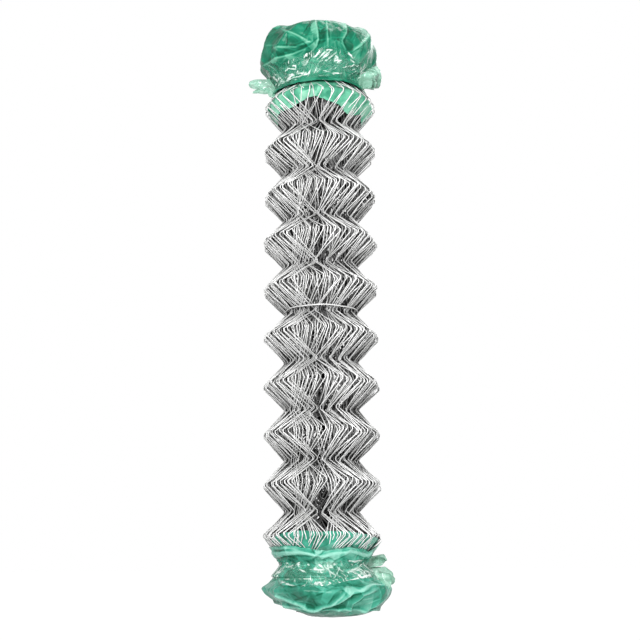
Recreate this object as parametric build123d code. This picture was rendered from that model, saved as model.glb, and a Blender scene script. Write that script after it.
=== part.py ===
from build123d import *
from math import sqrt
import os

# A compact roll of diamond-mesh wire fencing, standing on its end.
# The fence is folded like a fan and wound about +Z, so every wire bends out at the bulges and
# in at the waists. A film bag is gathered over each end and taped round its neck, and a wire
# tie holds the middle waist. The origin is on the axis, at the floor. Sizes are in millimetres.

# Wire mesh
mesh_opening = 60.0  # between the parallel wires of one square diamond
wire_diameter = 2.2
diamonds_high = 12  # whole diamonds from edge to edge of the fence

# Wound roll
bulge_diameter = 198.0
pleat_depth = 35.0  # from a bulge's tip in to a waist
bend_land = 5.0  # height of a wire's bend, straight at each tip and root
bore_diameter = 56.0
turns = 3  # turns of folded fence between the bore and the waist
turn_gap = 2.4  # gap between two turns, open at the roll's ends
turn_gap_depth = 6.0

# Film bags, gathered in folds
film_wall = 2.0  # several thin layers lying together
film_clearance = 0.3  # between a bag and the wires that it lies on
film_folds = 18
fold_depth_share = 0.035  # of a bag's radius, from a fold's ridge in to its valley
neck_half_height = 12.0
neck_slack = 4.0  # of the gathered film over the wires, where the tape goes round
hem_reach = 19.0  # of the bag past the waist that it is taped to
shoulder_half_height = 5.0
top_shoulder_slack = 2.6  # of the film over the end bulge
top_crown_slack = 11.0
top_crown_rise = 9.0  # of the bag over the roll's end
bottom_shoulder_slack = 0.2
bottom_crown_slack = 0.4

# Clear tape round each neck, with a loose tail
tape_wall = 0.8
tape_clearance = 0.3
tape_below_waist = 11.0
tape_above_waist = 24.0
tail_root_half_height = 8.0
tail_tip_half_height = 16.0
tail_tip_lift = 5.0
top_tail_length = 43.0
bottom_tail_length = 27.0

# Tie wire round the middle waist, closed by a twist at the back
tie_clearance = 0.3
wire_sides = 8
twist_length = 22.0
twist_turns = 2.0
strand_offset_share = 0.42  # of the wire's diameter, from the twist's centre to a strand's

overrun = 5.0  # of a cutter past the face that it opens
full_turn = 360.0
half_turn = 180.0

# Worked out from the sizes above
pitch = mesh_opening * sqrt(2)  # height of a diamond, corner to corner
roll_height = diamonds_high * pitch
bulge_radius = bulge_diameter / 2
waist_radius = bulge_radius - pleat_depth
bore_radius = bore_diameter / 2
roll_bottom = film_wall  # the roll stands on the bottom bag's film
roll_top = roll_bottom + roll_height
end_bulge = -pitch / 2  # heights from the roll's end face, which is at zero
end_waist = -pitch


def flank_radius(past_waist):
    """Radius of the roll's flank at a height past a waist."""
    return waist_radius + pleat_depth * (past_waist - bend_land / 2) / (pitch / 2 - bend_land)


def film_radius(wires_radius, slack=0):
    """Outside radius of a bag's folds, whose valleys lie over wires of the given radius."""
    return (wires_radius + film_clearance + slack) / (1 - fold_depth_share) + film_wall


neck_radius = film_radius(flank_radius(neck_half_height), neck_slack)


def wound_roll():
    """The folded fence as one turned solid, with its bore and the gaps between turns on its ends."""
    points = [(bore_radius, 0), (waist_radius, 0)]
    for diamond in range(diamonds_high):
        waist = diamond * pitch
        bulge = waist + pitch / 2
        points += [
            (waist_radius, waist + bend_land / 2),
            (bulge_radius, bulge - bend_land / 2),
            (bulge_radius, bulge + bend_land / 2),
            (waist_radius, waist + pitch - bend_land / 2),
        ]
    points += [(waist_radius, roll_height), (bore_radius, roll_height)]
    roll = revolve(Plane.XZ * make_face(Polyline(*points, close=True)), Axis.Z)
    gap = turn_gap_cutter()
    roll -= Pos(0, 0, -overrun) * gap
    roll -= Pos(0, 0, roll_height - turn_gap_depth) * gap
    return Pos(0, 0, roll_bottom) * roll


def turn_gap_cutter():
    """A spiral of half circles, as wide as the gap between two turns."""
    half_pitch = (waist_radius - bore_radius) / turns / 2
    start_radius = bore_radius + half_pitch / 2
    outer, inner = [], []
    for half in range(2 * turns - 1):
        centre = (half % 2) * half_pitch
        radius = start_radius + half * half_pitch
        first_angle = (half % 2) * half_turn
        outer.append(CenterArc((centre, 0), radius + turn_gap / 2, first_angle, half_turn))
        inner.append(CenterArc((centre, 0), radius - turn_gap / 2, first_angle, half_turn))
    ends = [Line(outer[0] @ 0, inner[0] @ 0), Line(outer[-1] @ 1, inner[-1] @ 1)]
    return extrude(make_face([*outer, *inner, *ends]), turn_gap_depth + overrun)


def fold_ring(radius, height):
    """One closed outline of a bag, in and out over its folds."""
    points = []
    for corner in range(2 * film_folds):
        reach = radius * (1 - fold_depth_share * (corner % 2))
        points.append(Vector(reach, 0, height).rotate(Axis.Z, corner * half_turn / film_folds))
    return make_face(Polyline(*points, close=True))


def film_bag(shoulder_slack, crown_slack, crown_rise):
    """A bag over an end that faces up: gathered hem, taped neck, shoulder over the bulge, flat crown."""
    shoulder = film_radius(bulge_radius, shoulder_slack)
    crown = film_radius(waist_radius, crown_slack)
    rings = [
        (film_radius(flank_radius(hem_reach)), end_waist - hem_reach),
        (neck_radius, end_waist - neck_half_height),
        (neck_radius, end_waist + neck_half_height),
        (shoulder, end_bulge - shoulder_half_height),
        (shoulder, end_bulge + shoulder_half_height),
    ]
    outside = loft([fold_ring(*ring) for ring in [*rings, (crown, crown_rise)]], ruled=True)
    inside_rings = [(radius - film_wall, height) for radius, height in rings]
    inside_rings.append((crown - film_wall, crown_rise - film_wall))
    return outside - loft([fold_ring(*ring) for ring in inside_rings], ruled=True)


def flare_radius(past_waist, shoulder_slack):
    """Outside radius of a bag between its neck and its shoulder."""
    run = pitch / 2 - shoulder_half_height - neck_half_height
    rise = film_radius(bulge_radius, shoulder_slack) - neck_radius
    return neck_radius + rise * (past_waist - neck_half_height) / run


def neck_tape(shoulder_slack, tail_length):
    """Tape round a bag's neck and the start of its flare, with a loose tail that stands off it."""
    lying = neck_radius + tape_clearance
    flared = flare_radius(tape_above_waist, shoulder_slack) + tape_clearance
    levels = [
        (lying, end_waist - tape_below_waist),
        (lying, end_waist + neck_half_height),
        (flared, end_waist + tape_above_waist),
    ]
    back = [(radius + tape_wall, height) for radius, height in reversed(levels)]
    band = revolve(Plane.XZ * make_face(Polyline(*levels, *back, close=True)), Axis.Z)
    root = lying + tape_wall / 2
    tip = root + tail_length
    tail = Polyline(
        (root, end_waist - tail_root_half_height),
        (tip, end_waist + tail_tip_lift - tail_tip_half_height),
        (tip, end_waist + tail_tip_lift + tail_tip_half_height),
        (root, end_waist + tail_root_half_height),
        close=True,
    )
    return band + extrude(Plane.XZ * make_face(tail), tape_wall / 2, both=True)


def tie_wire():
    """A ring of wire that lies in a waist, with its two ends twisted together behind it."""
    ring_radius = waist_radius + tie_clearance + wire_diameter / 2
    wire = RegularPolygon(wire_diameter / 2, wire_sides)
    ring = revolve(Plane.XZ * Pos(ring_radius, 0) * wire, Axis.Z)
    strand_offset = strand_offset_share * wire_diameter
    strands = Pos(strand_offset, 0) * wire + Pos(-strand_offset, 0) * wire
    back = Plane((0, ring_radius, 0), x_dir=(1, 0, 0), z_dir=(0, 1, 0))
    twist = Solid.extrude_linear_with_rotation(
        (back * strands).face(), back.origin, back.z_dir * twist_length, twist_turns * full_turn
    )
    return ring + twist


def at_top(piece):
    return Pos(0, 0, roll_top) * piece


def at_bottom(piece):
    return Pos(0, 0, roll_bottom) * mirror(piece, Plane.XY)


pieces = {
    "mesh_roll": wound_roll(),
    "top_film": at_top(film_bag(top_shoulder_slack, top_crown_slack, top_crown_rise)),
    "bottom_film": at_bottom(film_bag(bottom_shoulder_slack, bottom_crown_slack, film_wall)),
    "top_tape": at_top(Rot(0, 0, half_turn) * neck_tape(top_shoulder_slack, top_tail_length)),
    "bottom_tape": at_bottom(neck_tape(bottom_shoulder_slack, bottom_tail_length)),
    "tie_wire": Pos(0, 0, roll_bottom + roll_height / 2) * tie_wire(),
}

os.makedirs("parts", exist_ok=True)
for name, piece in pieces.items():
    export_step(piece, os.path.join("parts", name + ".step"))
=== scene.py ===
import bpy
import itertools
import math
import numpy as np
from mathutils import Euler, Matrix, Vector
from types import SimpleNamespace


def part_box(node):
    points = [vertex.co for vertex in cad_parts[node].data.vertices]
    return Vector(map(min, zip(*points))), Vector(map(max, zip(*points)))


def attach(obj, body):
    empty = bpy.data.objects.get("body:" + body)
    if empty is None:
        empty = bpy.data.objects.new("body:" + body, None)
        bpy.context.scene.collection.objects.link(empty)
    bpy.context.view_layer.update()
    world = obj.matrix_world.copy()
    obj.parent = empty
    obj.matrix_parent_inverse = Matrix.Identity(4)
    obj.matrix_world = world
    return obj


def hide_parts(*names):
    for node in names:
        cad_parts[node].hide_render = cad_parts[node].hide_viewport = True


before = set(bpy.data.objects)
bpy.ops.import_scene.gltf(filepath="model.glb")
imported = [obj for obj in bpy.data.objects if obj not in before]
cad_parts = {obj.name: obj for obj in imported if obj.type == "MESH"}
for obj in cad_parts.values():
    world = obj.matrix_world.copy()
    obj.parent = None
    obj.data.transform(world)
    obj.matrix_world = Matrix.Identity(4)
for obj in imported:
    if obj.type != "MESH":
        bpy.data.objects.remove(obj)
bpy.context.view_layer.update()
scene = bpy.context.scene
scene.view_settings.view_transform = "Standard"

mm = 0.001
diamondsHigh = 12

# the wound fence as the frame holds it
rollLow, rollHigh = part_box("mesh_roll")
rollBottom, rollTop = rollLow.z, rollHigh.z
bulgeRadius = (rollHigh.x - rollLow.x) / 2
pitch = (rollTop - rollBottom) / diamondsHigh
print("frame: roll", round(rollBottom, 4), "to", round(rollTop, 4), "bulge", round(bulgeRadius, 4))


# node helpers
def put(tree, kind, inputs=None, **settings):
    made = tree.nodes.new(kind)
    for name, value in settings.items():
        setattr(made, name, value)
    for key, value in (inputs or {}).items():
        if isinstance(value, bpy.types.NodeSocket):
            tree.links.new(value, made.inputs[key])
        else:
            made.inputs[key].default_value = value
    return made


def calc(tree, operation, first, second=0.0, third=0.0):
    return put(tree, "ShaderNodeMath", {0: first, 1: second, 2: third}, operation=operation).outputs[0]


def times(tree, first, second):
    return calc(tree, "MULTIPLY", first, second)


def plus(tree, first, second):
    return calc(tree, "ADD", first, second)


def minus(tree, first, second):
    return calc(tree, "SUBTRACT", first, second)


def timesPlus(tree, first, second, third):
    return calc(tree, "MULTIPLY_ADD", first, second, third)


def mixed(tree, share, first, second):
    return put(tree, "ShaderNodeMix", {0: share, 2: first, 3: second}).outputs[0]


def vecCalc(tree, operation, first, second=(0.0, 0.0, 0.0)):
    return put(tree, "ShaderNodeVectorMath", {0: first, 1: second}, operation=operation).outputs[0]


def scaled(tree, vector, factor):
    return put(tree, "ShaderNodeVectorMath", {0: vector, "Scale": factor}, operation="SCALE").outputs[0]


def lengthOf(tree, vector):
    return put(tree, "ShaderNodeVectorMath", {0: vector}, operation="LENGTH").outputs["Value"]


def mixedVector(tree, share, first, second):
    return put(tree, "ShaderNodeMix", {0: share, 4: first, 5: second}, data_type="VECTOR").outputs[1]


def vectorOf(tree, x=0.0, y=0.0, z=0.0):
    return put(tree, "ShaderNodeCombineXYZ", {0: x, 1: y, 2: z}).outputs[0]


def partsOf(tree, vector):
    return put(tree, "ShaderNodeSeparateXYZ", {0: vector}).outputs


def noise(tree, place, scale, detail, distortion=0.0):
    return put(tree, "ShaderNodeTexNoise", {
        "Vector": place, "Scale": scale, "Detail": detail, "Distortion": distortion}).outputs


def centred(tree, colour):
    # a noise colour as a stray to both sides of zero
    return vecCalc(tree, "SUBTRACT", colour, grey(0.5))


def attribute(tree, name):
    return put(tree, "ShaderNodeAttribute", attribute_name=name).outputs["Fac"]


def newMaterial(name):
    made = bpy.data.materials.new(name)
    made.use_nodes = True
    tree = made.node_tree
    tree.nodes.clear()
    out = tree.nodes.new("ShaderNodeOutputMaterial")
    return made, tree, out


def ramp(tree, factor, stops):
    made = put(tree, "ShaderNodeValToRGB", {"Fac": factor})
    points = made.color_ramp.elements
    while len(points) < len(stops):
        points.new(0.5)
    for point, (place, colour) in zip(points, stops):
        point.position = place
        point.color = (*colour, 1.0)
    return made.outputs["Color"]


def grey(value):
    return (value, value, value)


# camera, low in front and tilted up
cameraSet = {"back": 1.909, "height": 0.109, "tiltUp": 11.69, "lens": 62.4, "yaw": 0.081, "roll": -0.4,
             "sensor": 36.0, "clipStart": 0.01}


def makeCamera(s):
    data = bpy.data.cameras.new("camera")
    data.lens = s["lens"]
    data.sensor_width = s["sensor"]
    data.clip_start = s["clipStart"]
    camera = bpy.data.objects.new("camera", data)
    aim = Euler((math.radians(90 + s["tiltUp"]), 0, math.radians(s["yaw"]))).to_matrix()
    aim = aim @ Matrix.Rotation(math.radians(s["roll"]), 3, "Z")
    camera.matrix_world = Matrix.Translation((0, -s["back"], s["height"])) @ aim.to_4x4()
    scene.collection.objects.link(camera)
    scene.camera = camera


makeCamera(cameraSet)
print("camera set")

# studio
studioSet = {
    "ambient": 0.08,
    "floorSize": 8.0,
    "floorColour": grey(0.86),
    "floorWhite": 1.05,  # what the camera sees in the floor
    "lamps": [
        # name, place, aim, size, power
        ("key", (-0.5, -2.4, 1.1), (0, 0, 0.5), 0.6, 58.0),
        ("fill", (1.3, -2.0, 0.6), (0, 0, 0.45), 0.8, 18.0),
        ("top", (0.3, 0.3, 2.4), (0, 0, 0.6), 1.0, 14.0),
        ("back", (0.8, 2.0, 1.5), (0, 0, 0.5), 1.4, 24.0),
    ],
}


def seenWhite(tree):
    path = put(tree, "ShaderNodeLightPath")
    seen = calc(tree, "MAXIMUM", path.outputs["Is Camera Ray"], path.outputs["Is Glossy Ray"])
    return calc(tree, "MAXIMUM", seen, path.outputs["Is Transmission Ray"])


def makeStudio(s):
    world = bpy.data.worlds.new("studio")
    world.use_nodes = True
    scene.world = world
    tree = world.node_tree
    tree.nodes.clear()
    soft = put(tree, "ShaderNodeBackground", {"Color": (1, 1, 1, 1), "Strength": s["ambient"]})
    white = put(tree, "ShaderNodeBackground", {"Color": (1, 1, 1, 1), "Strength": 1.0})
    both = put(tree, "ShaderNodeMixShader", {0: seenWhite(tree), 1: soft.outputs[0], 2: white.outputs[0]})
    put(tree, "ShaderNodeOutputWorld", {"Surface": both.outputs[0]})

    floorMaterial, tree, out = newMaterial("paleFloor")
    plain = put(tree, "ShaderNodeBsdfDiffuse", {"Color": (*s["floorColour"], 1)})
    glow = put(tree, "ShaderNodeEmission", {"Color": (1, 1, 1, 1), "Strength": s["floorWhite"]})
    both = put(tree, "ShaderNodeMixShader", {0: seenWhite(tree), 1: plain.outputs[0], 2: glow.outputs[0]})
    tree.links.new(both.outputs[0], out.inputs["Surface"])
    mesh = bpy.data.meshes.new("floor")
    half = s["floorSize"] / 2
    corners = [(-half, -half, 0), (half, -half, 0), (half, half, 0), (-half, half, 0)]
    mesh.from_pydata(corners, [], [(0, 1, 2, 3)])
    mesh.materials.append(floorMaterial)
    floor = bpy.data.objects.new("floor", mesh)
    scene.collection.objects.link(floor)

    for name, place, aim, size, power in s["lamps"]:
        lamp = bpy.data.lights.new(name, "AREA")
        lamp.size = size
        lamp.energy = power
        lampObject = bpy.data.objects.new(name, lamp)
        lampObject.location = place
        lampObject.rotation_euler = (Vector(aim) - Vector(place)).to_track_quat("-Z", "Y").to_euler()
        scene.collection.objects.link(lampObject)


makeStudio(studioSet)
print("studio set")


# galvanised wire, satin zinc with a slight change from wire to wire
zincSet = {
    "pale": grey(0.9), "dull": (0.5, 0.505, 0.49), "paleAt": 0.75, "dullAt": 0.2,
    "blotchScale": 160.0, "blotchShare": 0.9, "wireShare": 0.35, "toneStart": -0.1,
    "roughLow": 0.28, "roughHigh": 0.42, "metal": 0.12, "edge": (*grey(0.3), 1.0), "gloss": 0.35,
    "grainScale": 1400.0, "grainBump": 0.08, "grainDepth": 0.4 * mm,
    # painted shade: wires are painted brightest where they face away from the roll's axis and darker at
    # their sides
    "sideShade": 0.63, "outShade": 0.74, "inmost": -0.4,
    # and painted dimmer, as shade, where they lie deep in the roll
    "deepShade": 0.4, "deepRadius": 54 * mm, "openRadius": 88 * mm,
    # first wire of each inner turn, and the share of its brightness that it keeps under painted shade
    "turnShades": [(135.5, 0.36), (253.5, 0.55)],
}


def zincMaterial(name, s):
    made, tree, out = newMaterial(name)
    place = put(tree, "ShaderNodeTexCoord").outputs["Object"]
    wire = attribute(tree, "picket")
    each = put(tree, "ShaderNodeTexWhiteNoise", {"W": wire}, noise_dimensions="1D").outputs["Value"]
    blotch = noise(tree, place, s["blotchScale"], 4.0)["Fac"]
    grain = noise(tree, place, s["grainScale"], 2.0)["Fac"]
    tone = timesPlus(tree, blotch, s["blotchShare"], s["toneStart"])
    tone = timesPlus(tree, each, s["wireShare"], tone)
    colour = ramp(tree, tone, [(s["dullAt"], s["dull"]), (s["paleAt"], s["pale"])])

    # painted shade, brighter where the wire faces away from the roll's axis
    fromAxis = vecCalc(tree, "MULTIPLY", place, (1.0, 1.0, 0.0))
    normal = put(tree, "ShaderNodeNewGeometry").outputs["Normal"]
    facing = put(tree, "ShaderNodeVectorMath", {
        0: normal, 1: vecCalc(tree, "NORMALIZE", fromAxis)}, operation="DOT_PRODUCT").outputs["Value"]
    shade = timesPlus(tree, calc(tree, "MAXIMUM", facing, s["inmost"]), s["outShade"], s["sideShade"])
    # painted shade: dimmer deep in the roll and in the inner turns, in the colour and the specular alike
    paintedDepthShade = put(tree, "ShaderNodeMapRange", {
        "Value": lengthOf(tree, fromAxis), "From Min": s["deepRadius"], "From Max": s["openRadius"],
        "To Min": s["deepShade"]}).outputs[0]
    for firstWire, kept in s["turnShades"]:
        inner = calc(tree, "GREATER_THAN", wire, firstWire)
        paintedDepthShade = times(tree, paintedDepthShade, timesPlus(tree, inner, kept - 1.0, 1.0))
    colour = scaled(tree, colour, times(tree, shade, paintedDepthShade))

    rough = put(tree, "ShaderNodeMapRange", {
        "Value": grain, "To Min": s["roughLow"], "To Max": s["roughHigh"]}).outputs[0]
    bump = put(tree, "ShaderNodeBump", {
        "Height": grain, "Strength": s["grainBump"], "Distance": s["grainDepth"]})
    shader = put(tree, "ShaderNodeBsdfPrincipled", {
        "Base Color": colour, "Metallic": s["metal"], "Roughness": rough, "Normal": bump.outputs[0],
        "Specular Tint": s["edge"], "Specular IOR Level": times(tree, paintedDepthShade, s["gloss"])})
    tree.links.new(shader.outputs[0], out.inputs["Surface"])
    return made


zinc = zincMaterial("galvanisedWire", zincSet)

# fan-folded fence, one tree for every turn
bagCorners = 2  # corners at each end of a wire that lie under a bag
sameCorner = 0.1

# every value but tipExtra is an input of the tree, under its name in words
fenceSet = {
    "sides": 6,
    "seed": 11, "secondSeed": 5.0, "idsPerTip": 32.0,
    "tipExtra": 2.5 * mm,  # wire tips stand out of the turned solid
    "foldDepth": 35.0 * mm,  # from an outer tip in to an inner one
    "turnStep": 5.0 * mm,  # closer to the axis after each turn
    # how folds lie
    "radialShare": 0.12,
    "layStray": 0.12,
    "facingStray": 0.03,  # of where the front begins
    "edgeStray": 0.12,  # of its right edge
    "leanSpread": 0.35,  # from tip to tip
    "leanStray": 0.4,  # from corner to corner
    "leanRise": 0.55,  # from the left of the front to its right
    # how deep they reach
    "sideOverlap": 0.36,  # side folds near the front and back are deeper by this share
    "rightOverlap": -0.36,  # which is taken off again on the right
    "frontOverlap": 0.28,  # and those of the front and back bend in behind them
    "depthStray": 0.45,  # for the side folds next to the front and back
    "nearPower": 3.0, "nearLeft": 0.2,  # how soon these fade out, and their weight on the left
    # share of their radius that is left
    "endShare": 0.7,  # to the wire ends
    "tiedShare": 0.945,  # to the bends under the tie
    "baggedShare": 0.91,  # to the tips under the bags
    "tuckedShare": 0.87, "tuckedStray": 0.05,  # to the tips that lie under a bag's skirt
    # heights
    "endRise": 10.0 * mm,
    "frontRise": 5.0 * mm,
    "frontLift": 1.0 * mm,
    "nearLift": 1.0 * mm,
    # bends
    "bendLand": 4.6 * mm,  # straight stretch at each bend
    "twistHalf": 1.4 * mm,  # half the thickness of a flattened wire spiral
    "swingSharp": 5.5,  # how fast a wire passes from one side of it to the other
    "frontHook": 2.35 * mm,  # two hooked wires lie side by side at a tip
    "sideHook": 1.0 * mm,  # and one behind the other at the sides
    "bow": 3.0 * mm, "bowScale": 30.0, "bowStep": 0.37,
    # strays
    "strayOut": 2.0 * mm, "strayIn": 0.3, "baggedStray": 0.2,
    "strayRound": 2.0 * mm,
    "strayUp": 1.7 * mm,
    "sideStray": 2.4, "sidePower": 4.0,  # times as much up and down again for tips at the right side
    "sideLeft": 0.3,  # and this share of it at the left
    "nearStray": 1.6,  # times as much again for the folds next to the front and back
    "slowStray": 4.0 * mm, "slowScale": 1.3, "slowRise": 5.0,
}
outerTurn = {
    "turnStart": 0, "turnsIn": 0, "tipGap": 9.4 * mm, "startAngle": 80.0,
    "topLooseEvery": 2, "lowLooseEvery": 1,  # one tip in so many lies over that bag's skirt
    "frontShare": 0.83,  # of the way to the front, past which folds lie forwards
    "frontRight": 0.3,  # how far right of the middle they do
    "frontLean": 0.42,
    "wireRadius": 0.8 * mm,  # finer than inside, so that the gaps between wires stay open
}
fenceTurns = {
    "outer_turn_left_wires": {**outerTurn, "firstWire": 0, "wires": 68},
    "outer_turn_right_wires": {**outerTurn, "firstWire": 68, "wires": 68},
    "second_turn_wires": {
        "firstWire": 136, "wires": 118, "turnStart": 136, "turnsIn": 1, "tipGap": 10.3 * mm,
        "startAngle": 87.0, "topLooseEvery": 999, "lowLooseEvery": 999,
        "frontShare": 0.45, "frontRight": 0.9, "frontLean": -0.25, "wireRadius": 1.0 * mm},
    "third_turn_wires": {
        "firstWire": 254, "wires": 100, "turnStart": 254, "turnsIn": 2, "tipGap": 11.5 * mm,
        "startAngle": 93.0, "topLooseEvery": 999, "lowLooseEvery": 999,
        "frontShare": 0.6, "frontRight": 0.3, "frontLean": 0.3, "wireRadius": 1.1 * mm},
}


def randomShare(tree, pick, seed):
    return put(tree, "FunctionNodeRandomValue", {
        2: -1.0, 3: 1.0, "ID": pick, "Seed": seed}, data_type="FLOAT").outputs[1]


def sharedTip(tree, given, picket, corner):
    tip = SimpleNamespace()
    # outer corners are odd, and each tip is shared by two wires
    tip.odd = calc(tree, "MODULO", corner, 2.0)
    wire = minus(tree, picket, given.turnStart)
    outerTip = calc(tree, "FLOOR", calc(tree, "DIVIDE", wire, 2.0))
    innerTip = calc(tree, "FLOOR", calc(tree, "DIVIDE", plus(tree, wire, 1.0), 2.0))
    number = mixed(tree, tip.odd, innerTip, outerTip)
    along = minus(tree, number, timesPlus(tree, tip.odd, -0.5, 0.5))
    run = times(tree, along, given.tipGap)
    # angle of a spiral after that run
    square = times(tree, given.firstRadius, given.firstRadius)
    lost = calc(tree, "DIVIDE", times(tree, given.turnStep, run), math.pi)
    tip.radius = calc(tree, "SQRT", minus(tree, square, lost))
    angle = calc(tree, "DIVIDE", minus(tree, given.firstRadius, tip.radius), given.turnStep)
    aim = timesPlus(tree, angle, 2 * math.pi, given.startAngle)
    tip.x = calc(tree, "COSINE", aim)
    tip.y = calc(tree, "SINE", aim)
    tip.outward = vectorOf(tree, tip.x, tip.y)
    tip.onRight = calc(tree, "GREATER_THAN", tip.x, 0.0)
    # strays of the tip, the same for both wires that share it
    tip.number = plus(tree, number, given.turnStart)
    pick = timesPlus(tree, tip.number, given.idsPerTip, corner)
    stray = put(tree, "FunctionNodeRandomValue", {
        "Min": grey(-1), "Max": grey(1), "ID": pick, "Seed": given.seed}, data_type="FLOAT_VECTOR")
    tip.strayOut, tip.strayRound, tip.strayUp = partsOf(tree, stray.outputs[0])
    tip.turnStray = randomShare(tree, tip.number, given.seed)
    tip.cornerStray = randomShare(tree, pick, plus(tree, given.seed, given.secondSeed))
    return tip


def layFold(tree, given, tip):
    # pressed folds lie towards the nearest of four sides
    toFront = calc(tree, "ABSOLUTE", tip.y)
    facing = timesPlus(tree, tip.turnStray, given.facingStray, toFront)
    front = calc(tree, "GREATER_THAN", facing, given.frontShare)
    toRight = times(tree, tip.x, times(tree, calc(tree, "SIGN", tip.y), -1.0))
    toRight = timesPlus(tree, tip.turnStray, given.edgeStray, toRight)
    tip.front = times(tree, front, calc(tree, "LESS_THAN", toRight, given.frontRight))
    aside = minus(tree, 1.0, tip.front)
    sideX = times(tree, calc(tree, "SIGN", tip.x), aside)
    sideY = times(tree, calc(tree, "SIGN", tip.y), tip.front)
    lay = mixedVector(tree, given.radialShare, vectorOf(tree, sideX, sideY), tip.outward)
    lean = timesPlus(tree, tip.turnStray, given.leanSpread, given.frontLean)
    lean = timesPlus(tree, tip.cornerStray, given.leanStray, lean)
    lean = timesPlus(tree, toRight, given.leanRise, lean)
    lean = timesPlus(tree, tip.turnStray, given.layStray, times(tree, lean, tip.front))
    lay = put(tree, "ShaderNodeVectorRotate", {
        "Vector": vecCalc(tree, "NORMALIZE", lay), "Angle": lean}, rotation_type="Z_AXIS").outputs[0]
    tip.beside = vecCalc(tree, "CROSS_PRODUCT", (0, 0, 1), lay)
    # depth of the fold, as a share of the usual one
    near = times(tree, calc(tree, "POWER", toFront, given.nearPower), aside)
    tip.nearFront = times(tree, near, mixed(tree, tip.onRight, given.nearLeft, 1.0))
    sideDepth = timesPlus(tree, tip.onRight, given.rightOverlap, given.sideOverlap)
    depth = timesPlus(tree, near, sideDepth, 1.0)
    depth = plus(tree, depth, times(tree, tip.nearFront, times(tree, tip.cornerStray, given.depthStray)))
    depth = timesPlus(tree, tip.front, given.frontOverlap, depth)
    outer = scaled(tree, tip.outward, tip.radius)
    inner = vecCalc(tree, "SUBTRACT", outer, scaled(tree, lay, times(tree, depth, given.foldDepth)))
    # inner tips are drawn in to the waist
    waist = minus(tree, tip.radius, given.foldDepth)
    waist = timesPlus(tree, tip.strayOut, given.strayOut, waist)
    share = calc(tree, "MINIMUM", calc(tree, "DIVIDE", waist, lengthOf(tree, inner)), 1.0)
    return mixedVector(tree, tip.odd, scaled(tree, inner, share), outer)


def drawnShare(tree, given, tip, corner):
    # wire ends and tips are drawn in under the bags, and bends under the tie
    pastBag = calc(tree, "GREATER_THAN", corner, bagCorners - 0.5)
    beforeBag = calc(tree, "LESS_THAN", corner, minus(tree, given.corners, bagCorners + 0.5))
    tip.bare = times(tree, pastBag, beforeBag)
    firstEnd = calc(tree, "LESS_THAN", corner, 0.5)
    lastEnd = calc(tree, "GREATER_THAN", corner, minus(tree, given.corners, 1.5))
    tip.endSide = minus(tree, firstEnd, lastEnd)
    drawn = mixed(tree, tip.bare, given.baggedShare, 1.0)
    drawn = mixed(tree, plus(tree, firstEnd, lastEnd), drawn, given.endShare)
    middle = times(tree, minus(tree, given.corners, 1.0), 0.5)
    tied = calc(tree, "COMPARE", corner, middle, sameCorner)
    drawn = mixed(tree, tied, drawn, given.tiedShare)
    # most tips next to a bag are tucked under its skirt
    fromMiddle = calc(tree, "ABSOLUTE", minus(tree, corner, middle))
    tip.besideBag = calc(tree, "COMPARE", fromMiddle, minus(tree, middle, bagCorners + 1), sameCorner)
    atTop = calc(tree, "GREATER_THAN", corner, middle)
    every = mixed(tree, atTop, given.lowLooseEvery, given.topLooseEvery)
    under = calc(tree, "GREATER_THAN", calc(tree, "MODULO", tip.number, every), 0.5)
    underShare = timesPlus(tree, tip.strayRound, given.tuckedStray, given.tuckedShare)
    return mixed(tree, times(tree, tip.besideBag, under), drawn, underShare)


def cornerPlace(tree, given, picket, corner):
    tip = sharedTip(tree, given, picket, corner)
    place = layFold(tree, given, tip)
    place = scaled(tree, place, drawnShare(tree, given, tip, corner))
    # tips at the front stand higher, and wire ends short of the roll's end
    height = timesPlus(tree, corner, given.halfPitch, given.bottom)
    frontFace = times(tree, calc(tree, "MAXIMUM", times(tree, tip.y, -1.0), 0.0), tip.odd)
    height = timesPlus(tree, times(tree, frontFace, tip.bare), given.frontRise, height)
    height = timesPlus(tree, tip.endSide, given.endRise, height)
    # strays, and hooked wires that stand either side of their shared tip
    slowAt = vectorOf(tree, tip.x, tip.y, times(tree, height, given.slowRise))
    slow = centred(tree, noise(tree, slowAt, given.slowScale, 1.0)["Color"])
    slowOut, slowRound = partsOf(tree, slow)[:2]
    out = times(tree, minus(tree, tip.strayOut, given.strayIn), given.strayOut)
    out = timesPlus(tree, slowOut, given.slowStray, out)
    out = times(tree, out, mixed(tree, tip.bare, given.baggedStray, 1.0))
    side = timesPlus(tree, calc(tree, "MODULO", picket, 2.0), 2.0, -1.0)
    side = times(tree, side, timesPlus(tree, tip.odd, 2.0, -1.0))
    across = times(tree, side, mixed(tree, tip.front, given.sideHook, given.frontHook))
    across = timesPlus(tree, tip.strayRound, given.strayRound, across)
    across = timesPlus(tree, slowRound, given.slowStray, across)
    # tips at the sides and next to the front stand at uneven heights
    atSide = calc(tree, "POWER", calc(tree, "ABSOLUTE", tip.x), given.sidePower)
    atSide = times(tree, atSide, mixed(tree, tip.onRight, given.sideLeft, 1.0))
    upReach = timesPlus(tree, times(tree, atSide, given.sideStray), given.strayUp, given.strayUp)
    upReach = timesPlus(tree, times(tree, tip.nearFront, given.nearStray), given.strayUp, upReach)
    # and folds that lie forwards bend above the middle of their diamond
    lift = timesPlus(tree, tip.front, given.frontLift, times(tree, tip.nearFront, given.nearLift))
    lift = times(tree, lift, times(tree, tip.odd, tip.bare))
    lift = times(tree, lift, minus(tree, 1.0, tip.besideBag))
    up = timesPlus(tree, tip.strayUp, upReach, plus(tree, height, lift))
    shift = vecCalc(tree, "ADD", scaled(tree, tip.outward, out), scaled(tree, tip.beside, across))
    return vecCalc(tree, "ADD", vecCalc(tree, "ADD", place, shift), vectorOf(tree, z=up))


def socketName(key):
    # such as Wire Radius for wireRadius
    return "".join(" " + letter if letter.isupper() else letter for letter in key).title()


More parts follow.
